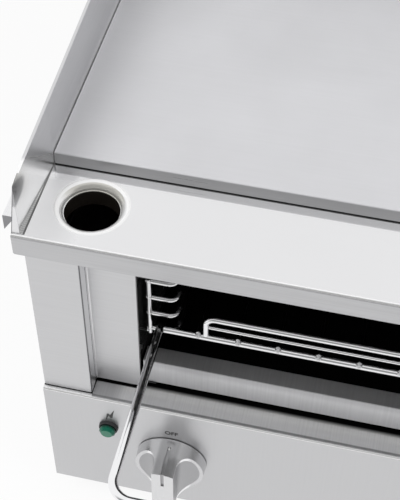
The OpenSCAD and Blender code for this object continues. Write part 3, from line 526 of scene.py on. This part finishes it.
# Rack guides: bright plated wires bent into four levels and welded to two posts on each wall, with
# a knot of weld at each crossing. They are painted black as painted shade behind the chamber's front
# edge, at the posts' upper ends and on the stubs at the wall.
def add_ball(name, radius, place, squash):
    bpy.ops.object.select_all(action="DESELECT")
    bpy.ops.mesh.primitive_uv_sphere_add(segments=20, ring_count=10, radius=radius, location=place)
    ball = named(name)
    bpy.ops.object.mode_set(mode="EDIT")
    bpy.ops.mesh.select_all(action="SELECT")
    bpy.ops.transform.resize(value=squash, center_override=place)
    bpy.ops.object.mode_set(mode="OBJECT")
    return ball


def repeat(first, moves):
    copies = [copy_piece(first, "copy", Matrix.Translation(move)) for move in moves]
    for piece in (first, *copies):
        piece.select_set(True)
    bpy.context.view_layer.objects.active = first
    bpy.ops.object.join()


post_low, post_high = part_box("left_guide_posts")
guide_r, guide_end, guide_levels, knot_r = 0.0018, 0.0050, 4, 0.0026
guide_shade_fade, wall_stub = (-0.1190, -0.1130), 0.1780
guide_pitch = (post_high.z - post_low.z - 2 * guide_end) / (guide_levels - 1)
post_gap = post_high.y - post_low.y - 2 * guide_r
shade_black = (0.02, 0.02, 0.02)
guide_plated_painted_shade = steel_finish("guide_plated_painted_shade", (0.78, 0.78, 0.79), 0.07, "z",
                            streak=0.0, relief=0.0, metal=1.0, zones=(
    # painted shade: black inside the dark chamber, on the posts' tops and on the wall stubs
    (lambda x, y, z: y.rise(*guide_shade_fade), shade_black, 0.40),
    (lambda x, y, z: z > post_high.z - guide_end + guide_r, shade_black, 0.40),
    (lambda x, y, z: abs(x) > wall_stub, shade_black, 0.40),
))
dress(guide_plated_painted_shade, "left_guide_runners", "right_guide_runners", "left_guide_posts", "right_guide_posts")
knot_at = Vector((post_high.x - guide_r, post_low.y + guide_r, post_low.z + guide_end))
knots = add_ball("left_guide_knots", knot_r, knot_at, (1.0, 0.8, 0.7))
repeat(knots, [(0.0, back, level * guide_pitch)
               for back in (0.0, post_gap) for level in range(guide_levels) if back or level])
right_knots = copy_piece(knots, "right_guide_knots", mirrored)
hand_over(knots, guide_plated_painted_shade, "chassis", "bright_wire")
hand_over(right_knots, guide_plated_painted_shade, "chassis", "bright_wire")


# Toast rack: a tray of plated wires between two thick rods that run forward as the handle, with
# a raised fence. Each cross wire is spot welded on the front wire in a small dull bead. Behind the
# chamber's front edge the wires and rods are painted black as painted shade, and the rods darken
# towards it as painted reflection.
# Black painted as painted shade inside the chamber, for the rack's rods and wires.
chamber_shade_black = (0.012, 0.012, 0.012)
rod_dark_reflection, rod_into_shade = (-0.1720, -0.1400), (-0.1285, -0.1225)
wire_into_shade, cross_into_shade = (-0.1242, -0.1220), (-0.1278, -0.1270)
dress(steel_finish("rod_plated_painted_shade", (0.88, 0.88, 0.89), 0.03, "y", streak=0.0, relief=0.0, metal=1.0, zones=(
    # painted reflection: the rods darken towards the chamber
    (lambda x, y, z: y.rise(*rod_dark_reflection), (0.22, 0.22, 0.22), 0.04),
    (lambda x, y, z: y.rise(*rod_into_shade), chamber_shade_black, 0.40),
)), "rack_left_rod", "rack_right_rod", "rack_handle")
dress(steel_finish("wire_plated_painted_shade", (0.86, 0.86, 0.87), 0.09, "x", streak=0.02, relief=0.0, metal=1.0, zones=(
    (lambda x, y, z: y.rise(*wire_into_shade), chamber_shade_black, 0.40),
)), "rack_front_wire", "rack_back_wire", "rack_fence", "rack_fence_rail")
dress(steel_finish("wire_painted_shade", (0.86, 0.86, 0.87), 0.09, "y", streak=0.02, relief=0.0, metal=1.0, zones=(
    (lambda x, y, z: y.rise(*cross_into_shade), chamber_shade_black, 0.40),
)), "rack_cross_wires")

wire_low, wire_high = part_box("rack_front_wire")
wire_pitch, wires, bead_r = 0.028, 11, 0.0022
first_wire = -wire_pitch * (wires - 1) / 2
bead_at = Vector((first_wire, wire_low.y + 0.0009, wire_high.z - 0.0004))
beads = add_ball("rack_weld_beads", bead_r, bead_at, (1.0, 1.0, 0.75))
repeat(beads, [(wire_pitch * count, 0.0, 0.0) for count in range(1, wires)])
bead_dull = steel_finish("bead_dull", (0.80, 0.80, 0.81), 0.45, "x", streak=0.02, relief=0.0)
hand_over(beads, bead_dull, "toast_rack", "bright_wire")


# Crumb tray: one folded sheet, with a tall front lip turned back and down at its top as a pull,
# and low walls. Its floor is painted black as painted shade; the lip is painted darker towards its
# top as painted shade, and the top of the pull lighter as painted light.
tray_low, tray_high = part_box("crumb_tray")
lip_back, lip_hem, lip_round, tray_wall = 0.0137, 0.0050, 0.0008, 0.0140
bpy.ops.object.select_all(action="DESELECT")
bpy.ops.mesh.primitive_plane_add(
    size=1.0, location=((tray_low.x + tray_high.x) / 2, (tray_low.y + tray_high.y) / 2, tray_low.z))
bpy.context.object.scale = (tray_high.x - tray_low.x, tray_high.y - tray_low.y, 1.0)
tray = named("crumb_tray_sheet")
for side in (lambda at: at.x < tray_low.x + hair, lambda at: at.x > tray_high.x - hair,
             lambda at: at.y > tray_high.y - hair):
    pick(tray, lambda at: side(at) and at.z < tray_low.z + hair)
    fold((0.0, 0.0, tray_wall))
pick(tray, lambda at: at.y < tray_low.y + hair and at.z < tray_low.z + hair)
fold((0.0, 0.0, tray_high.z - tray_low.z), (0.0, lip_back, 0.0), (0.0, 0.0, -lip_hem))
for fold_y in (tray_low.y, tray_low.y + lip_back):
    pick(tray, lambda at: at.z > tray_high.z - hair and abs(at.y - fold_y) < hair)
    bpy.ops.mesh.bevel(offset=lip_round, segments=3, affect="EDGES")
face_out(tray, lambda normal: normal.z < 0.0)
sheet_wall(tray, sheet)
tray_brushed_painted_light = steel_finish("tray_brushed_painted_light", (0.61, 0.61, 0.62), 0.33, "yz", streak=0.24, zones=(
    # painted shade: the lip darker towards its top
    (lambda x, y, z: z.rise(tray_high.z - 0.009, tray_high.z - 0.001), (0.46, 0.46, 0.47), 0.33),
    # painted shade: the floor black
    (lambda x, y, z: (z < tray_high.z - 0.007) * y.rise(tray_low.y + 0.0008, tray_low.y + 0.0012),
     (0.006, 0.006, 0.006), 0.65),
    # painted light: the top of the pull lighter
    (lambda x, y, z: (z > tray_high.z - 0.0006) * (y > tray_low.y + 0.0009), (0.60, 0.60, 0.61), 0.45),
))
hand_over(tray, tray_brushed_painted_light, "tray", "brushed_steel", "crumb_tray")


# Heating elements: sheathed hairpins blued and dulled by heat, clamped up under the plate by
# bars on studs.
dress(steel_finish("element_sheath", (0.060, 0.052, 0.048), 0.50, "x", patch=0.6),
      "front_element", "middle_element", "back_element")
dress(steel_finish("clamp_heated", (0.16, 0.15, 0.14), 0.45, "y", patch=0.4),
      "element_clamps", "clamp_studs")


# Control panel: one brushed sheet folded back along its top as the ledge. The ledge is painted
# lighter as painted light, with a painted highlight near the tray and painted shade at its left and
# front; it is painted black as painted shade where it runs in under the drawer and the tray, and a
# painted highlight runs along the bend.
panel_low, panel_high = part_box("control_panel")
drawer_end, column_end = -0.1816, -0.2150
gap_black = (0.005, 0.005, 0.005)
ledge_glare, ledge_shade, ledge_front_shade = (-0.1430, -0.1370), (-0.2020, -0.1900), (-0.1476, -0.1462)
under_tray, under_grip, under_column = (-0.1345, -0.1303), (-0.1354, -0.1346), (-0.1475, -0.1469)


def on_ledge(z):
    return z > panel_high.z - 0.0004


dress(steel_finish("panel_brushed_painted_light", (0.60, 0.60, 0.61), 0.38, "yz",
                   streak=lambda x, y, z: 0.07 + on_ledge(z) * 0.18, zones=(
    # painted light: the ledge lighter, with a painted highlight near the tray
    (lambda x, y, z: on_ledge(z), (0.95, 0.95, 0.96), 0.48),
    (lambda x, y, z: on_ledge(z) * y.rise(*ledge_glare), (1.0, 1.0, 1.0), 0.85),
    # painted shade at the ledge's left and front
    (lambda x, y, z: on_ledge(z) * (x > column_end) * (1.0 - x.rise(*ledge_shade)),
     (0.66, 0.66, 0.67), 0.48),
    (lambda x, y, z: on_ledge(z) * (x > column_end) * (1.0 - y.rise(*ledge_front_shade)),
     (0.42, 0.42, 0.43), 0.40),
    # painted highlight along the panel's top bend
    (lambda x, y, z: (y < panel_low.y + 0.0011) * (z > panel_high.z - 0.0016), (1.0, 1.0, 1.0), 0.40),
    # painted shade: black where the ledge runs in under the tray, the grip and the column
    (lambda x, y, z: on_ledge(z) * y.rise(*under_tray), gap_black, 0.7),
    (lambda x, y, z: on_ledge(z) * (x < drawer_end) * y.rise(*under_grip), gap_black, 0.7),
    (lambda x, y, z: on_ledge(z) * (x < column_end) * y.rise(*under_column), gap_black, 0.7),
)), "control_panel")


# Panel marks: a bolt sign over each lamp and the word OFF over each knob, printed in dark ink on
# the brushed steel.
def print_mark(mark, name, change):
    take(mark)
    mark.name = name
    bpy.ops.object.convert(target="MESH")
    mark.data.transform(change @ Matrix.Rotation(radians(90.0), 4, "X"))
    return mark


knob_low, knob_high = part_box("left_knob")
knob_x, knob_z = (knob_low.x + knob_high.x) / 2, (knob_low.z + knob_high.z) / 2
lens_low, lens_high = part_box("lamp_lenses")
lamp_x, lamp_z = -0.2032, (lens_low.z + lens_high.z) / 2
to_right_control = Matrix.Translation((-2.0 * knob_x, 0.0, 0.0))
ink_thick = 0.00006
word_at = Vector((knob_x - 0.0003, panel_low.y, knob_z + 0.0342))
bolt_at = Vector((lamp_x + 0.0015, panel_low.y, lamp_z + 0.0154))
ink, shade = new_finish("printed_ink")
place = shade.node("ShaderNodeTexCoord", out="Object")
fleck = shade.node("ShaderNodeTexNoise", inputs={"Vector": place, "Scale": 1800.0, "Detail": 2.0})
shade.paint({"Base Color": shade.grey(0.02 + fleck * 0.05), "Roughness": 0.5 + fleck * 0.2})

bpy.ops.object.select_all(action="DESELECT")
bpy.ops.object.text_add(location=(0.0, 0.0, 0.0))
word = bpy.context.object
word.data.body = "OFF"
word.data.size = 0.0058
word.data.offset = 0.0002
word.data.align_x, word.data.align_y = "CENTER", "CENTER"
word.data.extrude = ink_thick
word = print_mark(word, "left_off_mark", Matrix.Translation(word_at))
right_word = copy_piece(word, "right_off_mark", to_right_control)

outline = bpy.data.curves.new("bolt_sign", "CURVE")
outline.dimensions, outline.fill_mode, outline.extrude = "2D", "BOTH", ink_thick
stroke = outline.splines.new("POLY")
turns = ((3.7, 8.4), (1.7, -3.2), (0.2, -3.2), (-0.8, -0.4),
         (-3.6, -7.8), (-2.3, 1.8), (-0.9, 2.4), (0.2, 0.9))
stroke.points.add(len(turns) - 1)
for point, (across, high) in zip(stroke.points, turns):
    point.co = (across * 0.001, high * 0.001, 0.0, 1.0)
stroke.use_cyclic_u = True
bolt = bpy.data.objects.new("left_bolt_mark", outline)
bpy.context.scene.collection.objects.link(bolt)
bolt = print_mark(bolt, "left_bolt_mark", Matrix.Translation(bolt_at))
right_bolt = copy_piece(bolt, "right_bolt_mark", to_right_control)
for mark in (word, right_word, bolt, right_bolt):
    hand_over(mark, ink, "chassis", "black_plastic")


# Knobs: turned and silvered, scooped on both sides to leave a grip bar, with a pointer groove that
# ends in an inlaid white dot. Each is pushed on a regulator shaft behind the panel.
knob_r, knob_face_r, knob_base, knob_ease = 0.0270, 0.0250, 0.0086, 0.0005
grip_half, scoop, scoop_end = 0.0083, 0.0124, 0.0236
reach, overcut = 0.04, 0.01
groove_start, groove_half, groove_deep = 0.0062, 0.0012, 0.0010
rim_groove, face_groove = 0.0240, 0.0090
dot_r, dot_proud, dot_rise = 0.0010, 0.0008, 0.0243
base_y = knob_high.y - knob_base
bpy.ops.object.select_all(action="DESELECT")
bpy.ops.mesh.primitive_cone_add(
    vertices=96, radius1=knob_r, radius2=knob_face_r, depth=knob_high.y - knob_low.y,
    rotation=(radians(90.0), 0.0, 0.0), location=(knob_x, (knob_low.y + knob_high.y) / 2, knob_z))
knob = named("left_knob_turned")
for side in (-1.0, 1.0):
    near, far = sorted((knob_x + side * grip_half, knob_x + side * reach))
    scooper = add_block("scooper", (near, knob_low.y - overcut, knob_z - reach),
                        (far, base_y, knob_z + reach))
    pick(scooper, lambda at: at.y > base_y - hair and abs(at.x - knob_x) < grip_half + hair)
    bpy.ops.mesh.bevel(offset=scoop, segments=12, affect="EDGES")
    cut_away(knob, scooper)
for groove_low, groove_back in ((rim_groove, knob_high.y - groove_start),
                                (face_groove, knob_low.y + groove_deep)):
    cut_away(knob, add_block("groover", (knob_x - groove_half, knob_low.y - overcut, knob_z + groove_low),
                             (knob_x + groove_half, groove_back, knob_z + reach)))
softened = knob.modifiers.new("softened", "BEVEL")
softened.width, softened.segments = knob_ease, 2
softened.limit_method, softened.angle_limit = "ANGLE", radians(40.0)
bpy.ops.object.modifier_apply(modifier=softened.name)


def off_axis(x):
    return abs(x) - abs(knob_x)


knob_silver = steel_finish("knob_silver", (0.64, 0.64, 0.65), 0.25, "y", streak=0.08, relief=0.01, zones=(
    # painted reflection: two light bands along the barrel beside the grip bar
    (lambda x, y, z: abs(off_axis(x)).rise(0.006, 0.009) * (1.0 - abs(off_axis(x)).rise(0.014, 0.018)),
     (0.92, 0.92, 0.93), 0.25),
    # painted shade: the scoops darker
    (lambda x, y, z: (y < base_y + 0.0003)
     * (off_axis(x) * off_axis(x) + (z - knob_z) * (z - knob_z) < scoop_end ** 2),
     (0.40, 0.40, 0.41), 0.35),
    (lambda x, y, z: y < knob_low.y + 0.0004, (0.72, 0.72, 0.73), 0.25),
))
right_knob = copy_piece(knob, "right_knob_turned", to_right_control)
hand_over(knob, knob_silver, "left_control", "knob_silver", "left_knob")
hand_over(right_knob, knob_silver, "right_control", "knob_silver", "right_knob")

bpy.ops.object.select_all(action="DESELECT")
bpy.ops.mesh.primitive_uv_sphere_add(
    segments=16, ring_count=8, radius=dot_r,
    location=(knob_x, knob_high.y - groove_start - dot_proud, knob_z + dot_rise))
dot = named("left_knob_dot")
right_dot = copy_piece(dot, "right_knob_dot", to_right_control)
enamel, shade = new_finish("white_enamel")
place = shade.node("ShaderNodeTexCoord", out="Object")
fleck = shade.node("ShaderNodeTexNoise", inputs={"Vector": place, "Scale": 2500.0})
shade.paint({"Base Color": shade.grey(0.86 + fleck * 0.08), "Roughness": 0.25 + fleck * 0.1})
hand_over(dot, enamel, "left_control", "knob_silver")
hand_over(right_dot, enamel, "right_control", "knob_silver")
dress(steel_finish("shaft_turned", (0.55, 0.55, 0.56), 0.25, "y"), "left_shaft", "right_shaft")


# Pilot lamps: a faceted green jewel lens pressed into a black ring bezel, on a lamp body clipped
# through the panel.
bezel_r, bezel_front_r, bezel_deep, bezel_well, bezel_round = 0.0075, 0.0071, 0.0026, 0.0014, 0.0004
jewel_r, jewel_deep, jewel_proud, jewel_facet = 0.0063, 0.0060, 0.0072, 0.0020
bezel_front, jewel_front = panel_low.y - bezel_deep, panel_low.y - jewel_proud
bpy.ops.object.select_all(action="DESELECT")
bpy.ops.mesh.primitive_cone_add(
    vertices=48, radius1=bezel_r, radius2=bezel_front_r, depth=bezel_deep,
    rotation=(radians(90.0), 0.0, 0.0), location=(lamp_x, panel_low.y - bezel_deep / 2, lamp_z))
bezel = named("left_bezel_ring")
pick(bezel, lambda at: at.y < bezel_front + hair)
bpy.ops.mesh.inset(thickness=bezel_front_r - jewel_r)
bpy.ops.mesh.extrude_region_move(TRANSFORM_OT_translate={"value": (0.0, bezel_well, 0.0)})
pick(bezel, lambda at: at.y < bezel_front + hair)
bpy.ops.mesh.bevel(offset=bezel_round, segments=3, affect="EDGES")
right_bezel = copy_piece(bezel, "right_bezel_ring", to_right_control)
black_moulded = steel_finish("black_moulded", (0.018, 0.018, 0.019), 0.42, "x",
                             streak=0.2, metal=0.0, relief=0.02)
hand_over(bezel, black_moulded, "chassis", "black_plastic", "lamp_bezels")
hand_over(right_bezel, black_moulded, "chassis", "black_plastic")

bpy.ops.object.select_all(action="DESELECT")
bpy.ops.mesh.primitive_cylinder_add(
    vertices=12, radius=jewel_r, depth=jewel_deep, rotation=(radians(90.0), 0.0, 0.0),
    location=(lamp_x, jewel_front + jewel_deep / 2, lamp_z))
jewel = named("left_jewel")
pick(jewel, lambda at: at.y < jewel_front + hair)
bpy.ops.mesh.bevel(offset=jewel_facet, segments=1, affect="EDGES")
right_jewel = copy_piece(jewel, "right_jewel", to_right_control)
jewel_green, shade = new_finish("jewel_green")
place = shade.node("ShaderNodeTexCoord", out="Object")
x, y, z = shade.axes(place)
fleck = shade.node("ShaderNodeTexNoise", inputs={"Vector": place, "Scale": 700.0, "Detail": 1.0})
# Painted light: the front facet painted lighter, the side facets darkening into the bezel as painted shade.
crown = (y < jewel_front + 0.0002) * (0.7 + fleck * 0.5)
depth = (1.0 - y.rise(jewel_front + 0.0016, bezel_front)) * (0.6 + fleck * 0.8)
side = shade.node("ShaderNodeMix", {"data_type": "RGBA"}, {
    0: depth, 6: (0.001, 0.008, 0.006, 1.0), 7: (0.004, 0.100, 0.060, 1.0)}, 2)
green = shade.node("ShaderNodeMix", {"data_type": "RGBA"}, {
    0: crown, 6: side, 7: (0.040, 0.190, 0.120, 1.0)}, 2)
shade.paint({"Base Color": green, "Roughness": 0.10 + fleck * 0.06, "Specular IOR Level": 0.35})
hand_over(jewel, jewel_green, "chassis", "green_lens", "lamp_lenses")
hand_over(right_jewel, jewel_green, "chassis", "green_lens")


# Fittings: moulded regulators and cable gland, a ceramic terminal block, rubber feet held by
# screws, and three rows of cross-slotted screws that hold the back panel.
dress(black_moulded, "left_regulator", "right_regulator", "cable_gland")
dress(steel_finish("glazed_ceramic", (0.74, 0.72, 0.67), 0.30, "x", metal=0.0, patch=0.1), "terminal_block")
dress(steel_finish("foot_rubber", (0.022, 0.022, 0.022), 0.80, "z", metal=0.0, patch=0.3),
      "foot_front_left", "foot_front_right", "foot_back_left", "foot_back_right")
screw_plated = steel_finish("screw_plated", (0.50, 0.50, 0.51), 0.25, "z", streak=0.03)
dress(screw_plated, "foot_screws")

screw_low, screw_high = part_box("back_screws")
back_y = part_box("back_panel")[1].y
head_r, head_sunk, head_round = 0.0040, 0.0004, 0.0009
slot_wide, slot_long, slot_deep = 0.0009, 0.0046, 0.0010
first = Vector((screw_low.x + head_r, back_y, screw_low.z + head_r))
column_pitch = (screw_high.x - screw_low.x - 2 * head_r) / 2
middle_rise, top_rise = 0.095, screw_high.z - screw_low.z - 2 * head_r
bpy.ops.object.select_all(action="DESELECT")
bpy.ops.mesh.primitive_cylinder_add(
    vertices=32, radius=head_r, depth=screw_high.y - back_y + head_sunk, rotation=(radians(90.0), 0.0, 0.0),
    location=(first.x, (back_y + screw_high.y - head_sunk) / 2, first.z))
heads = named("back_screw_heads")
pick(heads, lambda at: at.y > screw_high.y - hair)
bpy.ops.mesh.bevel(offset=head_round, segments=4, affect="EDGES")
bpy.ops.object.mode_set(mode="OBJECT")
for wide, high in ((slot_wide, slot_long), (slot_long, slot_wide)):
    cut_away(heads, add_block("slotter", (first.x - wide / 2, screw_high.y - slot_deep, first.z - high / 2),
                              (first.x + wide / 2, screw_high.y + slot_deep, first.z + high / 2)))
repeat(heads, [(column * column_pitch, 0.0, rise)
               for column in range(3) for rise in (0.0, middle_rise, top_rise) if column or rise])
hand_over(heads, screw_plated, "chassis", "plated_steel", "back_screws")
